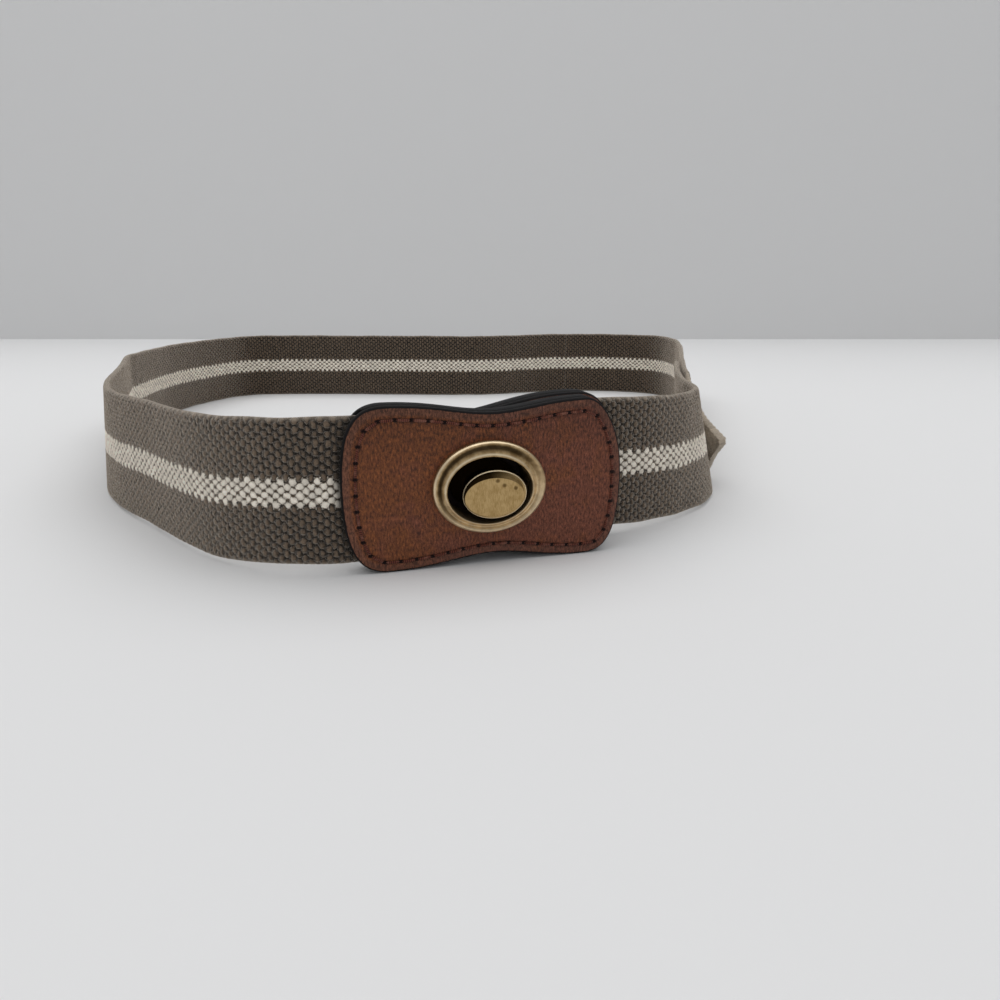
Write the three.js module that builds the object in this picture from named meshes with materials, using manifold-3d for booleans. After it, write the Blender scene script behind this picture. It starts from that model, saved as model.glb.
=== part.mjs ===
// Elastic belt with a fastened leather closure, standing on its lower edge. Millimetres, +Z up.
// The closure's face looks along -Y, and the origin is under the middle of the whole belt.

import * as THREE from "three";
import { mergeVertices } from "three/addons/utils/BufferGeometryUtils.js";
import Module from "manifold-3d";

const wasm = await Module();
wasm.setup();

// Gap kept between pieces that touch on the real belt
const GAP = 0.3;

// Elastic webbing
const WEBBING_WIDTH = 32;
const WEBBING_THICKNESS = 2;
const WEBBING_CHAMFER = 0.35;
const WEBBING_STEP = 6;
const CURVE_DIVISIONS = 3000;

// Free end of the webbing, its corners folded over to a point. The upper fold starts further back
// than the lower one, and the point lies below the middle of the width.
const POINT_LENGTH = 26;
const POINT_LOWER_LENGTH = 11.5;
const POINT_DROP = 2.3;
const POINT_TIP = 0.8;
const POINT_THICKNESS = 3.2;
const POINT_STEPS = 7;

// Leather tabs of the closure. The front one's waist is nearer its right end; the rear one ends
// on the left in a low tongue, hidden behind the front one.
const TAB_LENGTH = 62.4;
const TAB_HEIGHT = 36;
const TAB_WAIST = 31.6;
const TAB_WAIST_SHIFT = 1.2;
const TAB_SHOULDER = 22;
const TAB_CORNER = { across: 28.2, round: 14 };
const TAB_WORN_CORNER = { across: 26, round: 11 };
const TAB_WAIST_ROUND = 7;
const TAB_SWELL = 12;
const TONGUE_LENGTH = 26;
const TONGUE_ROOT = { halfHeight: 14.6, across: 6, slope: 1.2 };
const TONGUE_ROUND = 11;
const TAB_BEVEL = 0.4;
const TAB_CURVE_SEGMENTS = 8;
const FACE_THICKNESS = 2;
const LINING_THICKNESS = 3.9;
const POCKET_LENGTH = 17;
const FRONT_TAB = { across: 0.35, back: 0 };
const REAR_TAB = { across: 1.7, back: 8.5 };

// Oval eyelet ring in the front tab, and the stud on the rear tab that stands in it
const RING = { across: 0.6, up: 17.2, sides: 44 };
const STUD = { across: 1.43, up: 16.35, sides: 36 };
const RING_HOLE = { halfWidth: 9.35, halfHeight: 7.3 };
const BARREL_WALL = 0.9;

// Place of the closure's centre in the belt's own frame
const CLOSURE = { across: -25.2, back: -138 };

// Centre line of the long strip, seen from above, clockwise from inside the front tab.
// back is behind the closure's front face, lift the height of the lower edge, lean the
// degrees by which the upper edge tips towards the inside of the loop.
const LONG_STRIP = [
  { at: "front tab pocket", across: -14, back: 3.3, lift: 2, lean: 0 },
  { at: "inside the tab's edge", across: -29, back: 3.3, lift: 2, lean: 0 },
  { at: "outside the tab's edge", across: -32, back: 3.4, lift: 2, lean: 0 },
  { at: "front", across: -45.5, back: 7.7, lift: 1.8, lean: 0 },
  { at: "front bend", across: -58, back: 18, lift: 1.2, lean: 1 },
  { at: "left front", across: -74, back: 45, lift: 0.8, lean: 3 },
  { at: "near left", across: -86.5, back: 68, lift: 0.3, lean: 4 },
  { at: "near left bend", across: -93, back: 88, lift: 0, lean: 6 },
  { at: "left side", across: -99, back: 138, lift: 0, lean: 5 },
  { at: "before the left crease", across: -103.4, back: 174, lift: 0, lean: 3 },
  { at: "left crease", across: -103.8, back: 179, lift: 0, lean: 3 },
  { at: "past the left crease", across: -103.1, back: 184, lift: 0, lean: 3 },
  { at: "back left", across: -96.5, back: 224, lift: 0, lean: 6 },
  { at: "back left bend", across: -81, back: 258, lift: 0, lean: 6 },
  { at: "back left corner", across: -63, back: 276.5, lift: 0, lean: 3 },
  { at: "back, left end", across: -42, back: 275.5, lift: 0, lean: 0 },
  { at: "back, middle", across: 22, back: 256, lift: 0, lean: 0 },
  { at: "back, dent", across: 60, back: 245, lift: 0, lean: 0 },
  { at: "back, rise", across: 104, back: 247, lift: 0, lean: 0 },
  { at: "back, right end", across: 133, back: 239, lift: 0, lean: 0 },
  { at: "back right corner", across: 153, back: 220, lift: 0, lean: 3 },
  { at: "right fold", across: 151.5, back: 197.5, lift: 0, lean: 3 },
  { at: "right side", across: 139.3, back: 169, lift: 0, lean: 3 },
  { at: "start of the lap", across: 107.4, back: 107.5, lift: 0, lean: 6 },
  { at: "start of the folds", across: 89.3, back: 71, lift: 0, lean: 8 },
  { at: "end of the lap", across: 85.6, back: 60.4, lift: 0, lean: 10 },
  { at: "middle of the point", across: 84.1, back: 51.5, lift: 0.1, lean: 11 },
  { at: "point of the free end", across: 85.1, back: 43.3, lift: 0.1, lean: 11 },
];

// Centre line of the short strip, clockwise too: under the lap and round into the rear tab.
const SHORT_STRIP = [
  { at: "inner end under the lap", across: 101.1, back: 100.5, lift: 0, lean: 6 },
  { at: "middle of the lap", across: 86.3, back: 71, lift: 0, lean: 8 },
  { at: "end of the lap", across: 78.9, back: 52.8, lift: 0, lean: 10 },
  { at: "right turn", across: 74.8, back: 38, lift: 0.1, lean: 12 },
  { at: "near right bend", across: 67.8, back: 28.5, lift: 0.4, lean: 10 },
  { at: "near right", across: 57, back: 19.5, lift: 0.9, lean: 4 },
  { at: "front right", across: 45.5, back: 14, lift: 1.5, lean: 0 },
  { at: "outside the tab's edge", across: 34, back: 11.9, lift: 2, lean: 0 },
  { at: "inside the tab's edge", across: 31, back: 11.8, lift: 2, lean: 0 },
  { at: "rear tab pocket", across: 16, back: 11.8, lift: 2, lean: 0 },
];

// Ovals of the eyelet ring, from the foot of its rim over the front into the hole and round the
// back flange. rise is how far an oval's middle lies above the hole's.
const RING_OVALS = [
  { at: "foot of the rim", halfWidth: 12.6, halfHeight: 10.2, rise: 0.6, back: -GAP },
  { at: "outside of the rim", halfWidth: 12.65, halfHeight: 10.25, rise: 0.6, back: -1 },
  { at: "shoulder of the rim", halfWidth: 12.35, halfHeight: 10.05, rise: 0.6, back: -1.6 },
  { at: "crest of the rim", halfWidth: 11.85, halfHeight: 9.7, rise: 0.6, back: -1.85 },
  { at: "inside of the rim", halfWidth: 11.35, halfHeight: 9.25, rise: 0.5, back: -1.6 },
  { at: "groove", halfWidth: 10.7, halfHeight: 8.6, rise: 0.3, back: -1.15 },
  { at: "outside of the lip", halfWidth: 10.1, halfHeight: 8, rise: 0.1, back: -1.4 },
  { at: "crest of the lip", halfWidth: 9.7, halfHeight: 7.6, rise: 0, back: -1.7 },
  { at: "edge of the hole", ...RING_HOLE, rise: 0, back: -1.35 },
  { at: "inside of the back flange", ...RING_HOLE, rise: 0, back: 7.3 },
  { at: "outside of the back flange", halfWidth: 11.95, halfHeight: 9.9, rise: 0, back: 7.3 },
  { at: "front of the back flange", halfWidth: 11.95, halfHeight: 9.9, rise: 0, back: 6.5 },
  { at: "barrel behind", halfWidth: 10.25, halfHeight: 8.2, rise: 0, back: 6.5 },
  { at: "barrel in front", halfWidth: 10.25, halfHeight: 8.2, rise: 0, back: -GAP },
];

// Ovals of the stud from the plate behind the rear tab to its flat top. shift is how far an
// oval's middle lies to the side of the post's.
const STUD_POST = { halfWidth: 4, halfHeight: 3 };
const STUD_BASE = { halfWidth: 8, halfHeight: 6 };
const STUD_NECK = { halfWidth: 4.8, halfHeight: 3.4 };
const STUD_OVALS = [
  { at: "plate, rear", ...STUD_BASE, shift: 0, back: 15.8 },
  { at: "plate, front", ...STUD_BASE, shift: 0, back: 15 },
  { at: "post, rear", ...STUD_POST, shift: 0, back: 15 },
  { at: "post", ...STUD_POST, shift: 0, back: REAR_TAB.back - GAP },
  { at: "edge of the base, rear", ...STUD_BASE, shift: 0, back: REAR_TAB.back - GAP },
  { at: "edge of the base, front", ...STUD_BASE, shift: 0, back: 7.5 },
  { at: "foot of the neck", ...STUD_NECK, shift: 0, back: 7 },
  { at: "top of the neck", ...STUD_NECK, shift: 0, back: -0.6 },
  { at: "under the rim", halfWidth: 6.9, halfHeight: 5.15, shift: 0, back: -1.2 },
  { at: "rim of the head", halfWidth: 7.15, halfHeight: 5.4, shift: 0, back: -1.8 },
  { at: "crest of the rim", halfWidth: 7, halfHeight: 5.25, shift: -0.05, back: -2.1 },
  { at: "foot of the flat top", halfWidth: 6.75, halfHeight: 4.7, shift: -0.2, back: -2.1 },
  { at: "flat top", halfWidth: 6.6, halfHeight: 4.45, shift: -0.4, back: -3.2 },
];

const webbingFinish = new THREE.MeshStandardMaterial({ color: 0x5f574d, roughness: 0.95, metalness: 0 });
const leatherFinish = new THREE.MeshStandardMaterial({ color: 0x5f3626, roughness: 0.55, metalness: 0 });
const blackFinish = new THREE.MeshStandardMaterial({ color: 0x1c191b, roughness: 0.6, metalness: 0 });
const brassFinish = new THREE.MeshStandardMaterial({ color: 0x9c8a5c, roughness: 0.35, metalness: 1 });

// Skin through sections with the same number of points; open ends get flat caps.
function loft(sections, closed) {
  const count = sections[0].length;
  const geometry = new THREE.BufferGeometry().setFromPoints(sections.flat());
  const index = [];
  const spans = closed ? sections.length : sections.length - 1;
  for (let i = 0; i < spans; i++) {
    const here = i * count;
    const next = ((i + 1) % sections.length) * count;
    for (let j = 0; j < count; j++) {
      const k = (j + 1) % count;
      index.push(here + j, here + k, next + k, here + j, next + k, next + j);
    }
  }
  const last = (sections.length - 1) * count;
  for (let j = 1; !closed && j < count - 1; j++) {
    index.push(0, j + 1, j, last, last + j, last + j + 1);
  }
  geometry.setIndex(index);
  return geometry;
}

// Smooth curve through a strip's rows, with the lift and lean eased from row to row
function stripCurve(rows) {
  const points = rows.map((row) => new THREE.Vector3(row.across, row.back, 0));
  const curve = new THREE.CatmullRomCurve3(points, false, "centripetal");
  curve.arcLengthDivisions = CURVE_DIVISIONS;
  const length = curve.getLength();
  const at = (distance) => {
    const t = curve.getUtoTmapping(distance / length);
    const place = t * (rows.length - 1);
    const row = Math.min(Math.floor(place), rows.length - 2);
    const ease = THREE.MathUtils.smoothstep(place - row, 0, 1);
    return {
      centre: curve.getPoint(t),
      along: curve.getTangent(t),
      lift: THREE.MathUtils.lerp(rows[row].lift, rows[row + 1].lift, ease),
      lean: THREE.MathUtils.degToRad(THREE.MathUtils.lerp(rows[row].lean, rows[row + 1].lean, ease)),
    };
  };
  return { length, at };
}

// Rectangle with chamfered corners across a strip, between two heights about its middle line.
// Any thickness beyond the webbing's own is added on the inside.
function stripSection(frame, bottom, top, thickness) {
  const inwards = new THREE.Vector3(frame.along.y, -frame.along.x, 0);
  const up = new THREE.Vector3(0, 0, Math.cos(frame.lean)).addScaledVector(inwards, Math.sin(frame.lean));
  const through = new THREE.Vector3().crossVectors(frame.along, up);
  const rise = (WEBBING_WIDTH / 2) * Math.cos(frame.lean) + (WEBBING_THICKNESS / 2) * Math.sin(frame.lean);
  const middle = frame.centre.clone().setZ(frame.lift + rise);
  const outer = -WEBBING_THICKNESS / 2;
  const inner = outer + thickness;
  const chamfer = Math.min(WEBBING_CHAMFER, (top - bottom) / 4);
  const corners = [
    [outer, bottom + chamfer],
    [outer, top - chamfer],
    [outer + chamfer, top],
    [inner - chamfer, top],
    [inner, top - chamfer],
    [inner, bottom + chamfer],
    [inner - chamfer, bottom],
    [outer + chamfer, bottom],
  ];
  return corners.map(([depth, height]) =>
    middle.clone().addScaledVector(through, depth).addScaledVector(up, height));
}

// Strip of webbing; a pointed one narrows at its last end and thickens where its corners are folded.
function webbingStrip(rows, pointed) {
  const curve = stripCurve(rows);
  const half = WEBBING_WIDTH / 2;
  const straight = curve.length - (pointed ? POINT_LENGTH : 0);
  const steps = Math.round(straight / WEBBING_STEP);
  const sections = [];
  for (let i = 0; i <= steps; i++) {
    sections.push(stripSection(curve.at((straight * i) / steps), -half, half, WEBBING_THICKNESS));
  }
  for (let i = 1; pointed && i <= POINT_STEPS; i++) {
    const left = POINT_LENGTH * (1 - i / POINT_STEPS);
    const top = THREE.MathUtils.lerp(POINT_TIP - POINT_DROP, half, left / POINT_LENGTH);
    const bottom = THREE.MathUtils.lerp(-POINT_TIP - POINT_DROP, -half, Math.min(left / POINT_LOWER_LENGTH, 1));
    const thickness = THREE.MathUtils.lerp(POINT_THICKNESS, WEBBING_THICKNESS, left / POINT_LENGTH);
    sections.push(stripSection(curve.at(curve.length - left), bottom, top, thickness));
  }
  return loft(sections, false);
}

// Bow-tie outline of the front tab: from the waist each quarter swells to a shoulder and turns
// round a corner, all moved towards the right as it nears the waist. The upper right corner is
// worn rounder than the others.
function frontOutline() {
  const shape = new THREE.Shape();
  const waist = TAB_WAIST / 2;
  const high = TAB_HEIGHT / 2;
  const end = TAB_LENGTH / 2;
  const place = (x, y, [a, b]) => [x * a + TAB_WAIST_SHIFT * (1 - (a / end) ** 2), y * b];
  const curve = (x, y, ...places) => shape.bezierCurveTo(...places.flatMap((spot) => place(x, y, spot)));
  shape.moveTo(TAB_WAIST_SHIFT, waist);
  const outwards = (x, y) => {
    curve(x, y, [TAB_WAIST_ROUND, waist], [TAB_SWELL, high], [TAB_SHOULDER, high]);
    curve(x, y, [TAB_CORNER.across, high], [end, TAB_CORNER.round], [end, 0]);
  };
  const inwards = (x, y, corner) => {
    curve(x, y, [end, corner.round], [corner.across, high], [TAB_SHOULDER, high]);
    curve(x, y, [TAB_SWELL, high], [TAB_WAIST_ROUND, waist], [0, waist]);
  };
  outwards(-1, 1);
  inwards(-1, -1, TAB_CORNER);
  outwards(1, -1);
  inwards(1, 1, TAB_WORN_CORNER);
  return shape;
}

// Outline of the rear tab: its right end is like the front one's, its left end the low tongue.
function rearOutline() {
  const shape = new THREE.Shape();
  const high = TAB_HEIGHT / 2;
  const end = TAB_LENGTH / 2;
  const { halfHeight: root, across, slope } = TONGUE_ROOT;
  shape.moveTo(0, root);
  shape.bezierCurveTo(-2 * across, root - 2 * slope, -TONGUE_LENGTH, TONGUE_ROUND, -TONGUE_LENGTH, 0);
  shape.bezierCurveTo(-TONGUE_LENGTH, -TONGUE_ROUND, -2 * across, 2 * slope - root, 0, -root);
  shape.bezierCurveTo(across, -root - slope, TAB_SWELL, -high, TAB_SHOULDER, -high);
  shape.bezierCurveTo(TAB_CORNER.across, -high, end, -TAB_CORNER.round, end, 0);
  shape.bezierCurveTo(end, TAB_CORNER.round, TAB_CORNER.across, high, TAB_SHOULDER, high);
  shape.bezierCurveTo(TAB_SWELL, high, across, root + slope, 0, root);
  return shape;
}

function ovalPoints(halfWidth, halfHeight, sides) {
  const points = [];
  for (let i = 0; i < sides; i++) {
    const turn = (2 * Math.PI * i) / sides;
    points.push(new THREE.Vector2(halfWidth * Math.cos(turn), halfHeight * Math.sin(turn)));
  }
  return points;
}

// Oval hole in a tab round a piece of the given half size, about the tab's own middle
function tabHole(tab, piece, size, wall) {
  const oval = ovalPoints(size.halfWidth + wall, size.halfHeight + wall, piece.sides);
  return oval.map((point) => point.add(new THREE.Vector2(piece.across - tab.across, piece.up - TAB_HEIGHT / 2)));
}

// Layer of a tab, its front the given distance behind the front of the tab
function tabLayer(tab, shape, behind, thickness) {
  const geometry = new THREE.ExtrudeGeometry(shape, {
    depth: thickness - 2 * TAB_BEVEL,
    curveSegments: TAB_CURVE_SEGMENTS,
    bevelThickness: TAB_BEVEL,
    bevelSize: TAB_BEVEL,
    bevelOffset: -TAB_BEVEL,
    bevelSegments: 1,
  });
  geometry.rotateX(Math.PI / 2);
  geometry.translate(tab.across, tab.back + behind + thickness - TAB_BEVEL, TAB_HEIGHT / 2);
  return geometry;
}

function toSolid(geometry) {
  const bare = geometry.clone();
  bare.deleteAttribute("normal");
  bare.deleteAttribute("uv");
  const merged = mergeVertices(bare, 1e-4);
  return new wasm.Manifold(new wasm.Mesh({
    numProp: 3,
    vertProperties: new Float32Array(merged.attributes.position.array),
    triVerts: new Uint32Array(merged.index.array),
  }));
}

function fromSolid(solid) {
  const mesh = solid.getMesh();
  const geometry = new THREE.BufferGeometry();
  geometry.setAttribute("position", new THREE.BufferAttribute(mesh.vertProperties, 3));
  geometry.setIndex(new THREE.BufferAttribute(mesh.triVerts, 1));
  return geometry;
}

// Lining with a shallow pocket in its front, open at one end, where the webbing's end lies
function pocketedLining(tab, shape, side) {
  const depth = WEBBING_THICKNESS + GAP;
  const width = WEBBING_WIDTH + 2 * GAP;
  const reach = POCKET_LENGTH + GAP;
  const behind = FACE_THICKNESS + GAP;
  const cutter = new THREE.BoxGeometry(2 * reach, 2 * depth, width);
  cutter.translate(tab.across + (side * TAB_LENGTH) / 2, tab.back + behind, TAB_HEIGHT / 2);
  const lining = toSolid(tabLayer(tab, shape, behind, LINING_THICKNESS));
  return fromSolid(lining.subtract(toSolid(cutter)));
}

// Ovals of the ring or the stud, one behind the other
function ovalSections(rows, piece) {
  return rows.map(({ halfWidth, halfHeight, back, shift = 0, rise = 0 }) =>
    ovalPoints(halfWidth, halfHeight, piece.sides).map((point) =>
      new THREE.Vector3(point.x + piece.across + shift, back, point.y + piece.up + rise)));
}

const belt = new THREE.Group();

function add(name, geometry, finish) {
  const mesh = new THREE.Mesh(geometry, finish);
  mesh.name = name;
  belt.add(mesh);
}

const frontShape = frontOutline();
frontShape.holes.push(new THREE.Path(tabHole(FRONT_TAB, RING, RING_HOLE, BARREL_WALL + GAP)));
const rearShape = rearOutline();
rearShape.holes.push(new THREE.Path(tabHole(REAR_TAB, STUD, STUD_POST, GAP)));

add("webbing_long", webbingStrip(LONG_STRIP, true), webbingFinish);
add("webbing_short", webbingStrip(SHORT_STRIP, false), webbingFinish);
add("front_tab_face", tabLayer(FRONT_TAB, frontShape, 0, FACE_THICKNESS), leatherFinish);
add("front_tab_lining", pocketedLining(FRONT_TAB, frontShape, -1), blackFinish);
add("rear_tab_face", tabLayer(REAR_TAB, rearShape, 0, FACE_THICKNESS), leatherFinish);
add("rear_tab_lining", pocketedLining(REAR_TAB, rearShape, 1), blackFinish);
add("eyelet_ring", loft(ovalSections(RING_OVALS, RING), true), brassFinish);
add("stud", loft(ovalSections(STUD_OVALS, STUD), false), brassFinish);

belt.position.set(CLOSURE.across, CLOSURE.back, 0);

export default belt;
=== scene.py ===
"""Looks of the elastic belt: webbing, stitched leather closure, eyelet ring and stud around its frame.

Lengths are in millimetres unless a comment says otherwise, and MM turns them into metres. The belt
stands on its lower edge with the closure's leather face looking along -Y."""

import math
from types import SimpleNamespace

import bpy
import numpy as np
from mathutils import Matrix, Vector


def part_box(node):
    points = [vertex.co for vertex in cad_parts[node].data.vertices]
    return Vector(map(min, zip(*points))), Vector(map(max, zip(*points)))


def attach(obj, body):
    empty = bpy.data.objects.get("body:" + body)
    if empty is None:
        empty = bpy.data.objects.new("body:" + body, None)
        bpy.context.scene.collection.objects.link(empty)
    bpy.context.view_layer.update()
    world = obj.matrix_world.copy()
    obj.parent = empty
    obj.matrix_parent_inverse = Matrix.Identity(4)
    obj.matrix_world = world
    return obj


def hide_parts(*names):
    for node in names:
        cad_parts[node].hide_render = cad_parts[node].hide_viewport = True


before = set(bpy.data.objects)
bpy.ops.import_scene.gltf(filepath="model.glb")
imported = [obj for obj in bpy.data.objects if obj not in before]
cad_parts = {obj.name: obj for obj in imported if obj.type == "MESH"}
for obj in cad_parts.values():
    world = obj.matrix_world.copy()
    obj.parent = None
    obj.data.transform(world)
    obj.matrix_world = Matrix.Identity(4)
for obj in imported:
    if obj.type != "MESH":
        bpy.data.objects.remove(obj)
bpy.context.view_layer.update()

MM = 0.001


def node_box(name):
    """Lowest and highest corner of a CAD node, in millimetres."""
    return [np.array(corner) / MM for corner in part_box(name)]


# Closure, from the frame: its middle at floor height in the plane of the front leather face. Each tab
# has a middle of its own, a little to the right of that. Its leather has so many points round the outline
# and so many rows of them between the rim and the brass.
FRONT = SimpleNamespace(across=0.35, back=0, tongue=False, steps=720, rows=44)
REAR = SimpleNamespace(across=1.7, back=8.5, tongue=True, steps=480, rows=16)
tab_low, tab_high = node_box("front_tab_face")
CLOSURE = np.array([(tab_low[0] + tab_high[0]) / 2 - FRONT.across, tab_low[1], 0])
TAB_END = (tab_high[0] - tab_low[0]) / 2
TAB_HIGH = (tab_high[2] - tab_low[2]) / 2

# Rest of the tabs' outlines, and their layers from the front of the leather to the back of the lining. A
# corner is drawn in by two control points: how far across on the top edge, and how high up on the end.
TAB_WAIST = 15.8
TAB_WAIST_SHIFT = 1.2
TAB_WAIST_ROUND = 7
TAB_SWELL = 12
TAB_SHOULDER = 22
TAB_CORNER = (28.2, 14)
TAB_WORN_CORNER = (26, 11)
TONGUE_LENGTH = 26
TONGUE_ROOT = 14.6
TONGUE_SWELL = (6, 1.2)
TONGUE_ROUND = 11
FACE_THICKNESS = 2.1
FACE_FRONT_ROUND = 0.75
FACE_BACK_ROUND = 0.35
LINING_FRONT = 2.25
POCKET_BACK = 4.5
LINING_BACK = 6.2
LINING_BEVEL = 0.35
LINING_STEPS = 480
POCKET_MOUTH = 25.7
MOUTH_STEP = 0.5
RIM_WIDTH = 1.3
RIM_FOOT = 0.4

# How finely a tab's layers are made: points of each curve of the outline, points to either side that its
# direction is taken from, points of the round in front of the leather's edge, and rows beside that
CURVE_STEPS = 400
DIRECTION_STEPS = 3
BEND_STEPS = 7
EDGE_ROWS = 16

# Ring and stud, about the middles of the ring's hole and of the stud's post in the closure's plane. Each
# tab's own hole is a little larger than the ring's barrel or the post that stands in it.
_, ring_high = node_box("eyelet_ring")
stud_low, stud_high = node_box("stud")
RING_HOLE = np.array([9.35, 7.3])
RIM_SIZE = np.array([12.65, 10.25])
RIM_RISE = 0.6
RING_MIDDLE = (ring_high - CLOSURE)[[0, 2]] - RIM_SIZE - (0, RIM_RISE)
STUD_MIDDLE = (stud_low + stud_high)[[0, 2]] / 2 - CLOSURE[[0, 2]]
STUD_PLATE = (stud_high - stud_low)[[0, 2]] / 2
POST = np.array([4, 3])
FRONT_HOLE = RING_HOLE + 1
REAR_HOLE = POST + 0.15

# Elastic webbing and its weave of round pebbles, each column half a row off its neighbours. A pebble is
# given by half its width and half its height, and the stripe by its rows to either side of the middle.
# The points round a selvedge are turned so many degrees from the face.
WIDTH = 32
THICKNESS = 2
COLUMN = 1.28
ROW = 2
STRIPE_ROWS = 1.5
PEBBLE = (0.8, 0.72)
SLIM_PEBBLE = (0.62, 0.86)
PEBBLE_FOOT = 0.5
PEBBLE_RELIEF = 0.5
SELVEDGE = 1
SELVEDGE_TURNS = (82, 58, 30)
SPAN_STEPS = 200

# Irregularity of the webbing: how far its selvedges fray, in waves of so many millimetres for each radian,
# how far its pebbles wander, the size of the squares that they wander in, and how many rows of these lie
# below the middle. Places in the weave's map that are further apart than the break don't belong to one
# face.
FRAY = 0.1
FRAY_SEED = 5
FRAY_WAVES = (2.3, 5.1, 11.7, 29)
WANDER = 0.2
WANDER_CELL = 1.5
WANDER_LOW_ROWS = 40
WANDER_SEEDS = (11, 12)
WEAVE_BREAK = 5

# Painted shadow on the webbing beside the front tab: its reach, and the points of the outline that it is
# taken from
MOUTH_SHADE = 1.1
MOUTH_STEPS = 240

# Free end of the long strip: its two corners are folded in over these lengths, to a tip that lies a drop
# below the middle of the width. The folded corners' own weave starts whole columns along the map and beyond
# the strip's width.
POINT_LENGTH = 26
POINT_LOWER_LENGTH = 11.5
POINT_DROP = 2.3
POINT_TIP = 0.8
POINT_PLAIN = 3
POINT_STEPS = 80
FLAP_THICKNESS = 1.2
FLAP_STEP = 0.4
FLAP_RELIEF = 0.5
FLAP_WEAVE = (40 * COLUMN, 20)

# Middle line of each strip, clockwise as seen from above: across from the closure's middle, back from
# its front face, lift of the lower edge, and lean towards the inside of the loop in degrees
LONG_STRIP = [
    (-14, 3.3, 2, 0),
    (-29, 3.3, 2, 0),
    (-32, 3.4, 2, 0),
    (-45.5, 7.7, 1.8, 0),
    (-58, 18, 1.2, 1),
    (-74, 45, 0.8, 3),
    (-86.5, 68, 0.3, 4),
    (-93, 88, 0, 6),
    (-99, 138, 0, 5),
    (-103.4, 174, 0, 3),
    (-103.8, 179, 0, 3),
    (-103.1, 184, 0, 3),
    (-96.5, 224, 0, 6),
    (-81, 258, 0, 6),
    (-63, 276.5, 0, 3),
    (-42, 275.5, 0, 0),
    (22, 256, 0, 0),
    (60, 245, 0, 0),
    (104, 247, 0, 0),
    (133, 239, 0, 0),
    (153, 220, 0, 3),
    (151.5, 197.5, 0, 3),
    (139.3, 169, 0, 3),
    (107.4, 107.5, 0, 6),
    (89.3, 71, 0, 8),
    (85.6, 60.4, 0, 10),
    (84.1, 51.5, 0.1, 11),
    (85.1, 43.3, 0.1, 11),
]
SHORT_STRIP = [
    (101.1, 100.5, 0, 6),
    (86.3, 71, 0, 8),
    (78.9, 52.8, 0, 10),
    (74.8, 38, 0.1, 12),
    (67.8, 28.5, 0.4, 10),
    (57, 19.5, 0.9, 4),
    (45.5, 14, 1.5, 0),
    (34, 11.9, 2, 0),
    (31, 11.8, 2, 0),
    (16, 11.8, 2, 0),
]
LONG_PIECES = ("webbing_front_left", "webbing_back", "webbing_right")

# Stitching round a tab. A thread starts a share of the way from one hole to the next and is a share of it
# long, and has so many rings of eight points.
STITCH_INSET = 2.55
STITCH_SHIFT = np.array([0.45, -0.3])
STITCH_PITCH = 3.5
STITCH_STEPS = 720
CHANNEL_WIDTH = 0.55
CHANNEL_DEPTH = 0.14
THREAD_RADIUS = 0.3
THREAD_ARCH = 0.32
THREAD_SUNK = 0.3
THREAD_SHARE = (0.08, 0.84)
THREAD_RINGS = 11
HOLE_SIZE = (0.52, 0.38)
HOLE_DEPTH = 0.55

# Inset from a tab's outline up to which its rows follow the outline, what the leather's inset attribute adds
# from there to the brass, and how far from the stud's middle the rear leather carries painted shadow, the
# last part of that fading
TRUE_INSET = 4.2
INNER_INSET = 6
POST_SHADE = 13
POST_FADE = 2

# Ovals of the eyelet ring from the foot of its rim over the front, through the hole and round the back
# flange, and of the stud from the plate behind the rear tab to its flat top. Each has its half width,
# half height, back, and how far its middle is moved across and up. Each corner between them is rounded
# with so many points, and the stud's ends are closed by ovals of these shares of their size.
RING_OVALS = [
    (12.55, 10.15, 0.1, 0, RIM_RISE),
    (*RIM_SIZE, -0.75, 0, RIM_RISE),
    (12.5, 10.15, -1.4, 0, RIM_RISE),
    (11.85, 9.7, -1.9, 0, RIM_RISE),
    (11.25, 9.15, -1.6, 0, 0.5),
    (10.7, 8.6, -1.1, 0, 0.3),
    (10.1, 8, -1.38, 0, 0.1),
    (9.7, 7.6, -1.73, 0, 0),
    (*RING_HOLE, -1.35, 0, 0),
    (*RING_HOLE, 7.3, 0, 0),
    (11.95, 9.9, 7.3, 0, 0),
    (11.95, 9.9, 6.4, 0, 0),
    (10.25, 8.2, 6.4, 0, 0),
    (10.25, 8.2, 0.1, 0, 0),
]
RING_ROUND = 0.3
RING_BEND = 6
RING_STEPS = 144
STUD_OVALS = [
    (*STUD_PLATE, 15.8, 0, 0),
    (*STUD_PLATE, 14.9, 0, 0),
    (*POST, 14.9, 0, 0),
    (*POST, 8.3, 0, 0),
    (8, 6, 8.3, 0, 0),
    (8, 6, 7.5, 0, 0),
    (4.8, 3.4, 7, 0, 0),
    (4.8, 3.4, -0.6, 0, 0),
    (6.9, 5.15, -1.2, 0, 0),
    (7.17, 5.42, -1.8, 0, 0),
    (7, 5.25, -2.12, -0.05, 0),
    (6.86, 5.02, -2.05, -0.1, 0),
    (6.74, 4.62, -2.1, -0.25, 0),
    (6.6, 4.25, -3.2, -0.4, -0.2),
]
STUD_ROUND = 0.13
STUD_BEND = 5
STUD_STEPS = 120
STUD_CAP = (0.3, 0.6, 0.9, 0.98)

# Places on their sections for the brass's painted light, outwards from the edge of the ring's hole and from
# the stud's middle: a groove with a painted dark reflection and crests with painted highlights on the ring,
# each with its width, and how strong they are; the stud's groove with its painted dark reflection, the
# bearing in radians where that reflection is darkest, and the depths between which the stud has painted
# shade under its head
RING_GROOVE = (1.75, 0.62)
RING_GROOVE_DARK_REFLECTION = 0.88
RING_CRESTS = [(2.9, 0.25), (0.6, 0.18)]
RING_CREST_LIGHT = 0.8
STUD_GROOVE = (6.55, 6.95)
STUD_GROOVE_TURN = 2.3
STUD_SHADE_DEPTHS = (-1.6, 14.5)

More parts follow.
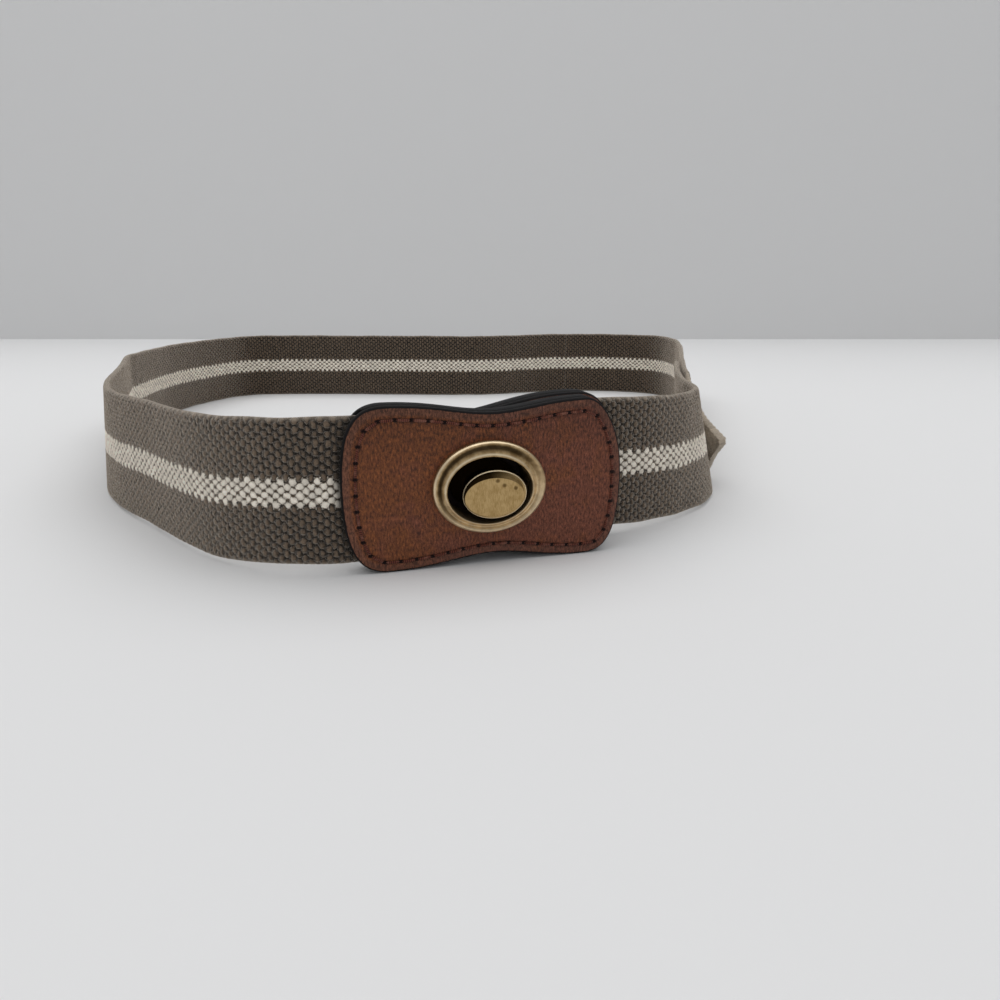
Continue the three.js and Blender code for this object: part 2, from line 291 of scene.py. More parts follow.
# Small dark specks on the front leather and on the stud's flat top, across and up in the closure's plane
LEATHER_SPECK = (-15, 8.3)
STUD_SPECKS = [(1.7, 19.7), (3.15, 18.6), (5.7, 17.85)]
SPECK_RADIUS = 0.6

# Camera and stage, in metres and degrees
CAMERA_PLACE = (-0.0624, -0.2836, 0.06005)
CAMERA_TILT = 73.2
CAMERA_TURN = -15.45
CAMERA_LENS = 25.99
WALL_DISTANCE = 0.52
STAGE_REACH = 3
WALL_HEIGHT = 0.6

# Lights, in metres and watts
OVERHEAD_PLACE = (0, 0.25, 1.5)
OVERHEAD_SIZE = (2.8, 2.0)
OVERHEAD_POWER = 22
SKY_COLOUR = (0.97, 0.98, 1.0, 1.0)
SKY_STRENGTH = 0.42


def tone(red, green, blue):
    """Colour as shown on a screen, from 0 to 255, turned into the linear values that shaders use."""
    shown = np.array([red, green, blue]) / 255
    linear = np.where(shown <= 0.04045, shown / 12.92, ((shown + 0.055) / 1.055) ** 2.4)
    return (*linear.tolist(), 1.0)


class Value:
    """A number that varies over a surface. Arithmetic on it adds Math nodes to its finish."""

    def __init__(self, finish, socket):
        self.finish = finish
        self.socket = socket

    def __add__(self, other):
        return self.finish.math("ADD", self, other)

    def __radd__(self, other):
        return self.finish.math("ADD", other, self)

    def __sub__(self, other):
        return self.finish.math("SUBTRACT", self, other)

    def __rsub__(self, other):
        return self.finish.math("SUBTRACT", other, self)

    def __mul__(self, other):
        return self.finish.math("MULTIPLY", self, other)

    def __rmul__(self, other):
        return self.finish.math("MULTIPLY", other, self)

    def __truediv__(self, other):
        return self.finish.math("DIVIDE", self, other)

    def __mod__(self, other):
        return self.finish.math("FLOORED_MODULO", self, other)

    def __abs__(self):
        return self.finish.math("ABSOLUTE", self)


class Finish:
    """A material being made: its nodes, and shorthands for those that are used most."""

    def __init__(self, name, **constants):
        self.material = bpy.data.materials.new(name)
        self.material.use_nodes = True
        self.tree = self.material.node_tree
        self.shader = self.tree.nodes["Principled BSDF"]
        self.set(**constants)

    def set(self, **values):
        """Feeds the shader's sockets, named with _ for each space."""
        for name, value in values.items():
            self.feed(self.shader.inputs[name.replace("_", " ")], value)

    def feed(self, socket, value):
        if isinstance(value, Value):
            self.tree.links.new(value.socket, socket)
        else:
            socket.default_value = value

    def node(self, kind, settings, values, output=0):
        """Adds a node, its settings first and then its sockets, and returns one of its outputs."""
        node = self.tree.nodes.new("ShaderNode" + kind)
        for name, setting in settings.items():
            setattr(node, name, setting)
        for name, value in values.items():
            self.feed(node.inputs[name], value)
        return Value(self, node.outputs[output])

    def math(self, operation, *values):
        return self.node("Math", {"operation": operation}, dict(enumerate(values)))

    def mix(self, factor, first, second):
        """Colour that goes from the first to the second as the factor goes from 0 to 1."""
        return self.node("Mix", {"data_type": "RGBA"}, {0: factor, 6: first, 7: second}, 2)

    def scaled(self, colour, factor):
        return self.node("VectorMath", {"operation": "SCALE"}, {0: colour, "Scale": factor})

    def ease(self, value, low, high):
        """0 below low, 1 above high and a smooth step between; high may be the lower one."""
        ends = {"Value": value, "From Min": low, "From Max": high}
        return self.node("MapRange", {"interpolation_type": "SMOOTHSTEP"}, ends)

    def place(self):
        """Place on the belt, in millimetres from the closure's middle."""
        where = self.node("TexCoord", {}, {}, "Object")
        steps = {"Location": tuple(-CLOSURE), "Scale": (1 / MM, 1 / MM, 1 / MM)}
        return self.node("Mapping", {}, {"Vector": where, **steps})

    def parts(self, vector):
        """The three numbers of a vector."""
        split = self.node("SeparateXYZ", {}, {0: vector}).socket.node
        return [Value(self, output) for output in split.outputs]

    def noise(self, vector, size, detail=2.0, roughness=0.5, stretch=(1, 1, 1)):
        """Cloudy noise from 0 to 1 with lumps of that size, longer along an axis that is stretched."""
        scale = tuple(1 / (size * axis) for axis in stretch)
        vector = self.node("Mapping", {}, {"Vector": vector, "Scale": scale})
        values = {"Vector": vector, "Scale": 1.0, "Detail": detail, "Roughness": roughness}
        return self.node("TexNoise", {}, values)

    def spot(self, place, centre):
        """1 in a small round spot about a place in the closure's plane, fading to 0 round it."""
        across, _, up = self.parts(place)
        aside, above = across - centre[0], up - centre[1]
        return self.ease(aside * aside + above * above, SPECK_RADIUS**2, 0)

    def attribute(self, name):
        return self.node("Attribute", {"attribute_name": name}, {}, "Fac")

    def bump(self, height, strength=1.0):
        """Normal bent by a height in millimetres."""
        return self.node("Bump", {}, {"Strength": strength, "Distance": MM, "Height": height}, "Normal")


def webbing_finish():
    """Woven elastic: the pebbles of pebble() again, from the piece's weave map and a little out of line.
    The gaps between them carry painted shade, each pebble has its own tone, and fibres run up and down over
    them. Those of the stripe are cream; the others are taupe and slimmer, with painted shade in the seams
    between the columns.
    The edges carry a painted highlight, it has painted shadow where it comes out of a tab, and the folded
    point is plain and painted lighter to stand in for the light it catches: its places in the map lie beyond
    the strip's width."""
    f = Finish("woven_elastic", Roughness=0.95, Specular_IOR_Level=0.2)
    f.set(Sheen_Weight=1.0, Sheen_Roughness=0.45, Sheen_Tint=(1.0, 0.9, 0.78, 1))
    place = f.place()
    along, up, _ = f.parts(f.node("UVMap", {"uv_map": "weave"}, {}))
    beyond = abs(up) - WIDTH / 2
    along = along + 0.7 * (f.noise(place, 0.8, 1.0) - 0.5)
    up = up + 0.9 * (f.noise(place, 0.9, 1.0) - 0.5)
    column = f.math("FLOOR", along / COLUMN)
    x = along - (column + 0.5) * COLUMN
    y = up - (0.25 - 0.5 * (column % 2)) * ROW
    row = f.math("FLOOR", y / ROW + 0.5)
    y = y - row * ROW

    def knots(size):
        own_x, own_y = x / size[0], y / size[1]
        beside_x, beside_y = (COLUMN - abs(x)) / size[0], (ROW / 2 - abs(y)) / size[1]
        beside = beside_x * beside_x + beside_y * beside_y
        return 1 - f.math("MINIMUM", own_x * own_x + own_y * own_y, beside)

    fibre = f.noise(place, 0.4, 4.0, 0.75, (1, 1, 1.6))
    cloud = f.noise(place, 9, 2.0)
    # crest, seam and slim_crest mark the pebbles' tops against the painted shade in the gaps and seams
    # between them
    crest = f.ease(knots(PEBBLE) + 1.4 * (fibre - 0.5), -0.4, 0.4)
    seam = f.ease(abs(x) + 0.6 * (fibre - 0.5), 0.38, 0.6)
    slim_crest = f.ease(knots(SLIM_PEBBLE) + 2.0 * (fibre - 0.5), -0.2, 0.9) * (1 - 0.6 * seam)
    pick = f.node("CombineXYZ", {}, {0: column, 1: row})
    pebble_tone = f.node("TexWhiteNoise", {"noise_dimensions": "2D"}, {"Vector": pick})
    stripe = f.math("LESS_THAN", abs(row), STRIPE_ROWS)
    # Painted shade: the dark gap tones of taupe and cream stand for the shade that falls between the pebbles
    taupe = f.mix(slim_crest, tone(18, 13, 10), tone(110, 94, 78))
    cream = f.mix(crest, tone(84, 72, 58), tone(250, 241, 226))
    light = 0.5 + 0.26 * pebble_tone + 0.8 * fibre + 0.14 * cloud
    colour = f.mix(stripe, taupe, cream)
    # Painted highlight: both selvedges are lightened towards the colour of a rim whose fuzz catches the
    # light
    colour = f.mix(0.6 * f.ease(beyond, -SELVEDGE, -0.2), colour, tone(150, 138, 124))
    # The folded point's plain weave: its tone is partly the plain yarn and partly painted light, set lighter
    # than the taupe to stand in for the light that falls on it
    colour = f.mix(f.ease(beyond, 1, 3), colour, tone(172, 159, 142))
    # Painted shadow: the webbing is darkened where it comes out of the front tab
    colour = f.scaled(colour, light - 0.9 * f.attribute("mouth"))
    f.set(Base_Color=colour, Normal=f.bump(0.15 * crest + 0.3 * fibre))
    return f.material


def leather_finish():
    """Reddish brown leather with a fine streaky grain, warmer towards its upper left and a little darker at
    the top, with a duller rim outside the stitches, a dark speck, painted shade in the stitch holes and
    painted shadow round the stud's post, and a black painted edge."""
    f = Finish("brown_leather", Specular_IOR_Level=0.3)
    place = f.place()
    across, _, up = f.parts(place)
    inset = f.attribute("inset")
    hole = f.attribute("hole")
    channel = f.attribute("channel")
    patches = f.noise(place, 7, 3.0, 0.55)
    blotches = f.noise(place, 1.6, 3.0, 0.6)
    streaks = f.noise(place, 0.42, 4.0, 0.7, (1, 1, 2.5))
    grain = f.noise(place, 0.14, 2.0)
    warm = f.ease(patches + 0.006 * (up - TAB_HIGH - across), 0.35, 0.65)
    colour = f.mix(warm, tone(115, 66, 48), tone(119, 68, 36))
    colour = f.mix(0.5 * f.ease(blotches, 0.4, 0.7), colour, tone(97, 52, 33))
    rim = f.ease(inset, 2.2, 1.5)
    colour = f.mix(0.6 * rim, colour, tone(104, 70, 57))
    colour = f.mix(0.4 * channel, colour, tone(66, 34, 27))
    shade = 4.6 * streaks + 2.4 * grain - 2.55 - 0.2 * f.ease(up, 22, 32)
    colour = f.scaled(colour, f.math("MAXIMUM", shade, 0.3))
    colour = f.mix(0.75 * f.spot(place, LEATHER_SPECK), colour, tone(40, 16, 12))
    # Painted shade in the stitch holes, and painted shadow on the rear leather round the stud's post
    colour = f.mix(f.ease(hole, 0.15, 0.45), colour, tone(30, 7, 5))
    edge = f.ease(inset + 0.3 * blotches, 0.65, 0.5)
    colour = f.mix(edge, colour, tone(9, 6, 7))
    relief = 0.06 * streaks + 0.03 * grain + 0.02 * blotches
    f.set(Base_Color=colour, Roughness=0.5 + 0.2 * streaks + 0.35 * edge, Normal=f.bump(relief))
    return f.material


def lining_finish():
    """Black painted edges and backing, a little dusty."""
    f = Finish("black_lining", Specular_IOR_Level=0.15)
    place = f.place()
    dust = f.noise(place, 1.5, 4.0, 0.6)
    grain = f.noise(place, 0.2, 3.0)
    colour = f.mix(f.ease(dust, 0.45, 0.75), tone(9, 8, 9), tone(26, 24, 26))
    f.set(Base_Color=colour, Roughness=0.6 + 0.25 * dust, Normal=f.bump(0.05 * grain))
    return f.material


def thread_finish():
    """Reddish brown thread, twisted, with paler fibres on its crown."""
    f = Finish("brown_thread", Sheen_Weight=0.1, Specular_IOR_Level=0.2)
    along, around, _ = f.parts(f.node("UVMap", {"uv_map": "weave"}, {}))
    twist = f.math("SINE", (along * 7 + around) * (2 * math.pi))
    worn = f.noise(f.place(), 1.6, 2.0)
    colour = f.mix(f.ease(twist, -0.6, 0.9), tone(66, 28, 21), tone(120, 64, 46))
    colour = f.mix(0.6 * f.ease(worn, 0.45, 0.75), colour, tone(152, 104, 86))
    f.set(Base_Color=colour, Roughness=0.7, Normal=f.bump(0.05 * twist))
    return f.material


def brass_finish(name, brushed):
    """Antique brass with painted shade and painted dark reflections where its pieces mark them, rougher
    there, and painted highlights on its crests, with fine scratches all over, or brushed up and down and
    specked."""
    f = Finish(name, Metallic=1.0)
    place = f.place()
    hollow, crest = f.attribute("hollow"), f.attribute("crest")
    stain = f.noise(place, 1.8, 4.0, 0.6)
    scratch = f.noise(place, 0.14, 3.0, 0.7, (1, 1, 9) if brushed else (3, 3, 1))
    if brushed:
        dull = f.ease(stain + 1.5 * (scratch - 0.5), 0.3, 0.8)
        colour = f.mix(dull, tone(194, 165, 116), tone(166, 137, 88))
        specks = sum(f.spot(place, centre) for centre in STUD_SPECKS)
        colour = f.mix(0.8 * specks, colour, tone(84, 62, 32))
    else:
        colour = f.mix(f.ease(stain, 0.35, 0.65), tone(208, 178, 132), tone(160, 130, 88))
    # Painted light: bright highlights on the crests, then painted shade and painted dark reflections over
    # them
    colour = f.mix(crest, colour, tone(255, 238, 204))
    colour = f.mix(hollow, colour, tone(34, 24, 10))
    rough = 0.3 + 0.16 * scratch + 0.2 * hollow + 0.1 * stain
    f.set(Base_Color=colour, Roughness=rough, Normal=f.bump(0.015 * scratch))
    return f.material


def plain_finish(name, colour, roughness):
    """Even colour for the stage."""
    f = Finish(name, Base_Color=colour, Roughness=roughness, Specular_IOR_Level=0.2)
    return f.material


def grid_faces(rows, columns, wrap_rows=False, wrap_columns=True):
    """Quads between neighbouring rows and columns of a grid whose points are numbered row by row."""
    row = np.arange(rows if wrap_rows else rows - 1)[:, None]
    column = np.arange(columns if wrap_columns else columns - 1)[None, :]
    next_row = (row + 1) % rows
    next_column = (column + 1) % columns
    corners = [row * columns + column, row * columns + next_column]
    corners += [next_row * columns + next_column, next_row * columns + column]
    return np.stack(corners, axis=-1).reshape(-1, 4)


def volume(points, faces):
    """Six times the volume inside the faces, taken as fans: positive if they point outwards."""
    first, second = points[faces[:, 0]], points[faces[:, 1:-1]]
    third = points[faces[:, 2:]]
    return np.einsum("ni,nki->", first, np.cross(second, third))


def build(name, points, quads, triangles=None, weave=None, flat=None, **attributes):
    """Piece from closed surfaces: points in millimetres, quads and triangles. weave gives each point its
    place in the pattern; a face across a break in it takes its first corner's place. flat marks quads
    that aren't smooth, and the attributes hold a number for each point."""
    points = points.reshape(-1, 3)
    triangles = np.zeros((0, 3), int) if triangles is None else triangles
    inside_out = volume(points, quads) + (volume(points, triangles) if len(triangles) else 0) < 0
    if inside_out:
        quads, triangles = quads[:, ::-1], triangles[:, ::-1]
    corners = np.concatenate([quads.ravel(), triangles.ravel()])
    starts = np.concatenate([np.arange(len(quads)) * 4, len(quads) * 4 + np.arange(len(triangles)) * 3])
    mesh = bpy.data.meshes.new(name)
    mesh.vertices.add(len(points))
    mesh.vertices.foreach_set("co", (points * MM).astype(np.float32).ravel())
    mesh.loops.add(len(corners))
    mesh.loops.foreach_set("vertex_index", corners.astype(np.int32))
    mesh.polygons.add(len(starts))
    mesh.polygons.foreach_set("loop_start", starts.astype(np.int32))
    smooth = np.ones(len(starts), bool)
    if flat is not None:
        smooth[: len(quads)] = ~flat
    mesh.polygons.foreach_set("use_smooth", smooth)
    if weave is not None:
        weave = weave.reshape(-1, 2)
        spread = [weave[faces] for faces in (quads, triangles)]
        for places in spread:
            if len(places):
                broken = np.ptp(places, axis=1).max(axis=1) > WEAVE_BREAK
                places[broken] = places[broken][:, :1]
        layer = mesh.uv_layers.new(name="weave")
        layer.uv.foreach_set("vector", np.concatenate([p.reshape(-1, 2) for p in spread]).ravel())
    for label, numbers in attributes.items():
        layer = mesh.attributes.new(label, "FLOAT", "POINT")
        layer.data.foreach_set("value", np.asarray(numbers, np.float32).ravel())
    mesh.update()
    mesh.validate()
    piece = bpy.data.objects.new(name, mesh)
    bpy.context.scene.collection.objects.link(piece)
    return piece


def dress(piece, material, slot, *nodes):
    """Gives a piece its finish, puts it in its nodes' place and rides it on the belt. Its slot is not used.
    """
    piece.data.materials.append(material)
    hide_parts(*nodes)
    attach(piece, "root")


def rounded(corners, radius, steps, closed=False):
    """Path through corners, each rounded by a quadratic curve that starts and ends a radius away from it,
    or half a side away where that is less."""
    corners = np.array(corners, float)
    before, after = np.roll(corners, 1, axis=0), np.roll(corners, -1, axis=0)
    u = np.linspace(0, 1, steps)[:, None]

    def towards(other):
        side = np.linalg.norm(other - corners, axis=1, keepdims=True)
        return corners + (other - corners) * np.minimum(radius / side, 0.5)

    start, end = towards(before)[:, None], towards(after)[:, None]
    bends = start * (1 - u) ** 2 + corners[:, None] * 2 * u * (1 - u) + end * u**2
    if closed:
        return bends.reshape(-1, corners.shape[1])
    middle = bends[1:-1].reshape(-1, corners.shape[1])
    return np.concatenate([corners[:1], middle, corners[-1:]])


def ripple(distance, size, seed):
    """Smooth wandering number of about that size along a distance: sine waves with seeded phases."""
    phases = np.random.default_rng(seed).random(len(FRAY_WAVES)) * 2 * np.pi
    waves = [np.sin(distance / length + phase) for length, phase in zip(FRAY_WAVES, phases)]
    return size * sum(waves) / 2


def wander(along, up, seed):
    """Smooth noise from -1 to 1 over a strip: seeded numbers on a square grid, eased between its knots."""
    u, v = along / WANDER_CELL, up / WANDER_CELL + WANDER_LOW_ROWS
    column, row = np.floor(u).astype(int), np.floor(v).astype(int)
    s, t = u - column, v - row
    s, t = s * s * (3 - 2 * s), t * t * (3 - 2 * t)
    knots = np.random.default_rng(seed).uniform(-1, 1, (column.max() + 2, row.max() + 2))
    low = knots[column, row] * (1 - s) + knots[column + 1, row] * s
    high = knots[column, row + 1] * (1 - s) + knots[column + 1, row + 1] * s
    return low * (1 - t) + high * t


def strip_route(rows):
    """Centripetal Catmull-Rom curve through a strip's rows. Each span is the cubic whose end tangents
    weigh the neighbouring chords by the roots of their lengths; lift and lean ease from row to row."""
    table = np.array(rows, float)
    places = table[:, :2]
    places = np.vstack([2 * places[0] - places[1], places, 2 * places[-1] - places[-2]])
    x0, x1, x2, x3 = places[:-3], places[1:-2], places[2:-1], places[3:]
    root = np.sqrt(np.linalg.norm(np.diff(places, axis=0), axis=1))[:, None]
    d0, d1, d2 = root[:-2], root[1:-1], root[2:]
    t1 = ((x1 - x0) / d0 - (x2 - x0) / (d0 + d1) + (x2 - x1) / d1) * d1
    t2 = ((x2 - x1) / d1 - (x3 - x1) / (d1 + d2) + (x3 - x2) / d2) * d1
    u = np.linspace(0, 1, SPAN_STEPS, endpoint=False)[None, :, None]
    cubic = -3 * x1 + 3 * x2 - 2 * t1 - t2, 2 * x1 - 2 * x2 + t1 + t2
    spans = x1[:, None] + t1[:, None] * u + cubic[0][:, None] * u**2 + cubic[1][:, None] * u**3
    centre = np.vstack([spans.reshape(-1, 2), places[-2]])
    ease = u * u * (3 - 2 * u)
    eased = table[:-1, None, 2:] + (table[1:, None, 2:] - table[:-1, None, 2:]) * ease
    lift, lean = np.vstack([eased.reshape(-1, 2), table[-1, 2:]]).T
    distance = np.concatenate([[0], np.cumsum(np.linalg.norm(np.diff(centre, axis=0), axis=1))])
    along = np.gradient(centre, distance, axis=0)
    along /= np.linalg.norm(along, axis=1, keepdims=True)
    return SimpleNamespace(
        length=distance[-1], distance=distance, centre=centre, along=along, lift=lift, lean=np.radians(lean)
    )


def on_strip(route, distance, up, depth):
    """Points on a strip: the middle line's place at a distance, moved up the leaning strip by a height
    above its middle, and through it by a depth towards the inside of the loop."""

    def read(numbers):
        return np.interp(distance, route.distance, numbers)

    x, y = read(route.centre[:, 0]), read(route.centre[:, 1])
    along_x, along_y = read(route.along[:, 0]), read(route.along[:, 1])
    lift, lean = read(route.lift), read(route.lean)
    sine, cosine = np.sin(lean), np.cos(lean)
    sideways = up * sine + depth * cosine
    rise = lift + WIDTH / 2 * cosine + THICKNESS / 2 * sine
    z = rise + up * cosine - depth * sine
    return np.stack([x + along_y * sideways, y - along_x * sideways, z], axis=-1) + CLOSURE


def pebble(along, up):
    """Relief of the weave from 0 to 1: half an ellipsoid over every knot of a grid in which each column
    sits a quarter row up or down in turn, the higher of the own one and the one beside it. Those outside
    the stripe are slimmer."""
    column = np.floor(along / COLUMN)
    x = along - (column + 0.5) * COLUMN
    y = up - np.where(column % 2 == 0, ROW / 4, -ROW / 4)
    row = np.round(y / ROW)
    y = y - ROW * row
    sizes = [np.reshape(size, (2, 1, 1)) for size in (PEBBLE, SLIM_PEBBLE)]
    wide, high = np.where(abs(row) < STRIPE_ROWS, *sizes)
    own = (x / wide) ** 2 + (y / high) ** 2
    beside = ((COLUMN - abs(x)) / wide) ** 2 + ((ROW / 2 - abs(y)) / high) ** 2
    return np.sqrt(np.clip(1 - np.minimum(own, beside), 0, None))


def half_section():
    """Heights of half a section from the lower edge to the upper one, every quarter row, and how thick it
    is there, from 1 on the faces to almost 0 round the selvedges."""
    turn = np.radians(SELVEDGE_TURNS)
    face = np.arange(-(WIDTH / 2 - SELVEDGE), WIDTH / 2 - SELVEDGE + 0.01, ROW / 4)
    edge = WIDTH / 2 - SELVEDGE + SELVEDGE * np.sin(turn)
    heights = np.concatenate([-edge, face, edge[::-1]])
    return heights, np.concatenate([np.cos(turn), np.ones(len(face)), np.cos(turn)[::-1]])


def strip_rings(length, pointed):
    """Distances of a strip's sections: three to a column of the weave, one of them between it and the next
    one, and closer on a pointed end."""
    straight = length - (POINT_LENGTH if pointed else 0)
    columns = np.arange(int(straight / COLUMN))[:, None]
    rings = ((columns + np.array([1, 2, 3]) / 3) * COLUMN).ravel()
    rings = np.concatenate([[0], rings, [straight]])
    if not pointed:
        return rings
    return np.concatenate([rings, straight + np.linspace(0, POINT_LENGTH, POINT_STEPS + 1)[1:]])


def point_edges(left):
    """Lower and upper edge of the strip where that much is left before its point: the upper corner is
    folded from further back than the lower one, and the point lies below the middle of the width."""
    low, high = -POINT_DROP - POINT_TIP, -POINT_DROP + POINT_TIP
    lower = low + (-WIDTH / 2 - low) * np.clip(left / POINT_LOWER_LENGTH, 0, 1)
    upper = high + (WIDTH / 2 - high) * np.clip(left / POINT_LENGTH, 0, 1)
    return lower, upper


def strip_sections(route, rings, pointed):
    """Points of a strip's sections, up its outer skin and down its inner one, and their places in the
    weave. The skins stand off the middle by the pebbles' relief and meet round the selvedges. On a pointed
    end both edges run in to the tip, and the inner skin is that of the folded corners: plainer, turned a
    quarter, and further in the nearer the tip is."""
    heights, thick = half_section()
    left = route.length - rings[:, None] if pointed else POINT_LENGTH + 0 * rings[:, None]
    lower, upper = point_edges(left)
    up = (lower + upper) / 2 + heights * (upper - lower) / WIDTH
    along = rings[:, None] + 0 * up
    aside, above = [WANDER * wander(along, up, seed) for seed in WANDER_SEEDS]
    knot_along, knot_up = along + aside, up + above
    past = POINT_LENGTH - left
    turned = up + FLAP_WEAVE[0], past + FLAP_WEAVE[1] + 0 * up
    layer = FLAP_THICKNESS * np.clip(past / POINT_LENGTH, 0, 1)
    outer = PEBBLE_FOOT + PEBBLE_RELIEF * pebble(knot_along, knot_up)
    flap = PEBBLE_FOOT + PEBBLE_RELIEF * FLAP_RELIEF * pebble(*turned)
    inner = layer + outer + np.clip(past / FLAP_STEP, 0, 1) * (flap - outer)
    edge = np.abs(heights) >= WIDTH / 2 - SELVEDGE
    fray = ripple(rings, FRAY, FRAY_SEED)[:, None] * edge * np.sign(heights)
    middle = layer / 2
    skins = [middle + (depth - middle) * thick for depth in (-outer, inner)]
    skins = [on_strip(route, rings[:, None], up + fray, depth) for depth in skins]
    straight = np.stack([knot_along, knot_up], axis=-1)
    inner_places = np.where((past > 0)[..., None], np.stack(turned, axis=-1), straight)
    plain = edge | (past > POINT_LENGTH - POINT_PLAIN)
    outer_places = np.where(plain[..., None], inner_places, straight)
    points = np.concatenate([skins[0], skins[1][:, ::-1]], axis=1)
    return points, np.concatenate([outer_places, inner_places[:, ::-1]], axis=1)


def webbing(route, rings, pointed, names):
    """Strip of webbing, cut along its length into closed pieces that meet at shared sections."""
    points, weave = strip_sections(route, rings, pointed)
    around = points.shape[1]
    lower = np.arange(around // 2 - 1)
    cap = np.stack([lower, lower + 1, around - 2 - lower, around - 1 - lower], axis=1)
    pieces = []
    for part, name in zip(np.array_split(np.arange(len(rings) - 1), len(names)), names):
        rows = np.append(part, part[-1] + 1)
        sides = grid_faces(len(rows), around)
        quads = np.concatenate([sides, cap[:, ::-1], cap + len(part) * around])
        flat = np.arange(len(quads)) >= len(sides)
        mouth = mouth_shade(points[rows])
        pieces.append(build(name, points[rows], quads, weave=weave[rows], flat=flat, mouth=mouth))
    return pieces


def cubic_path(*curves):
    """Points along cubic curves that follow each other, each given by its four control points."""
    u = np.linspace(0, 1, CURVE_STEPS)[:, None]
    weights = np.hstack([(1 - u) ** 3, 3 * u * (1 - u) ** 2, 3 * u**2 * (1 - u), u**3])
    paths = [weights @ np.array(curve, float) for curve in curves]
    return np.vstack([paths[0], *[path[1:] for path in paths[1:]]])


def tab_outline(tab, samples):
    """Outline of a tab in the closure's plane, clockwise from its top, evenly spaced, with its normals that
    point inwards. The front one is a bow tie of four quarters, moved to the right as they near the waist,
    and worn rounder at its upper right corner. The rear one has a tongue on the left."""

    def quarter(swell, across, corner):
        far, turned = corner
        turn = [(TAB_SHOULDER, TAB_HIGH), (far, TAB_HIGH), (TAB_END, turned), (TAB_END, 0)]
        places = np.array([[*swell, (TAB_SWELL, TAB_HIGH), (TAB_SHOULDER, TAB_HIGH)], turn]) * (across, 1)
        shift = (0 if tab.tongue else TAB_WAIST_SHIFT) * (1 - (places[..., :1] / TAB_END) ** 2)
        return cubic_path(*(places + shift * (1, 0)))

    if tab.tongue:
        root, swell = np.array([0, TONGUE_ROOT]), np.array(TONGUE_SWELL)
        upper = lower = quarter([root, root + swell], 1, TAB_CORNER)
        tip = (-TONGUE_LENGTH, TONGUE_ROUND), (-TONGUE_LENGTH, 0)
        left = cubic_path([root, root - 2 * swell, *tip])
    else:
        waist = [(0, TAB_WAIST), (TAB_WAIST_ROUND, TAB_WAIST)]
        upper, lower = quarter(waist, 1, TAB_WORN_CORNER), quarter(waist, 1, TAB_CORNER)
        left = quarter(waist, -1, TAB_CORNER)
    loop = np.vstack([upper, lower[-2::-1] * (1, -1), left[1:] * (1, -1), left[-2::-1]])
    distance = np.concatenate([[0], np.cumsum(np.linalg.norm(np.diff(loop, axis=0), axis=1))])
    even = np.linspace(0, distance[-1], samples, endpoint=False)
    outline = np.stack([np.interp(even, distance, loop[:, k]) for k in (0, 1)], axis=1)
    ahead, behind = [np.roll(outline, steps, axis=0) for steps in (-DIRECTION_STEPS, DIRECTION_STEPS)]
    along = ahead - behind
    along /= np.linalg.norm(along, axis=1, keepdims=True)
    return outline + (tab.across, TAB_HIGH), np.stack([along[:, 1], -along[:, 0]], axis=1)


def mouth_shade(points):
    """Mask of painted shadow: 1 where the webbing comes out from under the front tab's outline, fading to 0
    away from it. Only points near the tab are measured."""
    outline, _ = tab_outline(FRONT, MOUTH_STEPS)
    flat = (points - CLOSURE).reshape(-1, 3)
    near = (np.abs(flat[:, 0]) < TAB_END + 5 * MOUTH_SHADE) & (flat[:, 1] < TAB_END / 2)
    apart = np.linalg.norm(flat[near][:, None, [0, 2]] - outline, axis=-1).min(axis=1)
    shade = np.zeros(len(flat))
    shade[near] = np.exp(-((apart / MOUTH_SHADE) ** 2))
    return shade


def tab_grid(tab, samples, profile, hole_middle, hole_size):
    """Points of a tab's layer: each row of the profile is an inset from the outline along its normals,
    then a share of the way from there to the oval hole, at the same bearing from the hole's middle."""
    outline, inwards = tab_outline(tab, samples)
    ring = outline + inwards * profile[:, :1, None]
    bearing = ring - hole_middle
    turn = np.arctan2(bearing[..., 1] * hole_size[0], bearing[..., 0] * hole_size[1])
    oval = hole_middle + np.stack([np.cos(turn), np.sin(turn)], axis=-1) * hole_size
    return ring + (oval - ring) * profile[:, 1, None, None]


def stitch_line(tab, samples):
    """Closed line of a tab's stitches: its inset from the outline, its distances, and its holes."""
    outline, inwards = tab_outline(tab, samples)
    inset = STITCH_INSET + inwards @ STITCH_SHIFT
    line = outline + inwards * inset[:, None]
    closed = np.vstack([line, line[:1]])
    distance = np.concatenate([[0], np.cumsum(np.linalg.norm(np.diff(closed, axis=0), axis=1))])
    count = round(distance[-1] / STITCH_PITCH)
    marks = np.arange(count) * distance[-1] / count
    holes = np.stack([np.interp(marks, distance, closed[:, k]) for k in (0, 1)], axis=1)
    return inset, distance[:-1], holes


def stitch_relief(tab, flat, profile, samples):
    """Dents of the stitching in a tab's face: a soft channel along the line of stitches, and a wide oval
    hole at each of its marks. Returns the depth, and the masks of the channel and of the holes, which also
    marks where shade is painted in them."""
    inset, distance, holes = stitch_line(tab, samples)
    across = profile[:, :1] - inset
    channel = np.exp(-((across / CHANNEL_WIDTH) ** 2)) * (profile[:, 1:2] == 0)
    length = distance[-1] + distance[1]
    nearest = np.round(distance / length * len(holes)).astype(int) % len(holes)
    apart = (flat - holes[nearest]) / HOLE_SIZE
    hole = np.exp(-(apart**2).sum(axis=-1)) * (profile[:, 1:2] == 0)
    return CHANNEL_DEPTH * channel + HOLE_DEPTH * hole, channel, hole


def layer_points(flat, back):
    """Points of a layer from places in the closure's plane and distances behind its front face."""
    return np.stack([flat[..., 0], back + 0 * flat[..., 0], flat[..., 1]], axis=-1) + CLOSURE


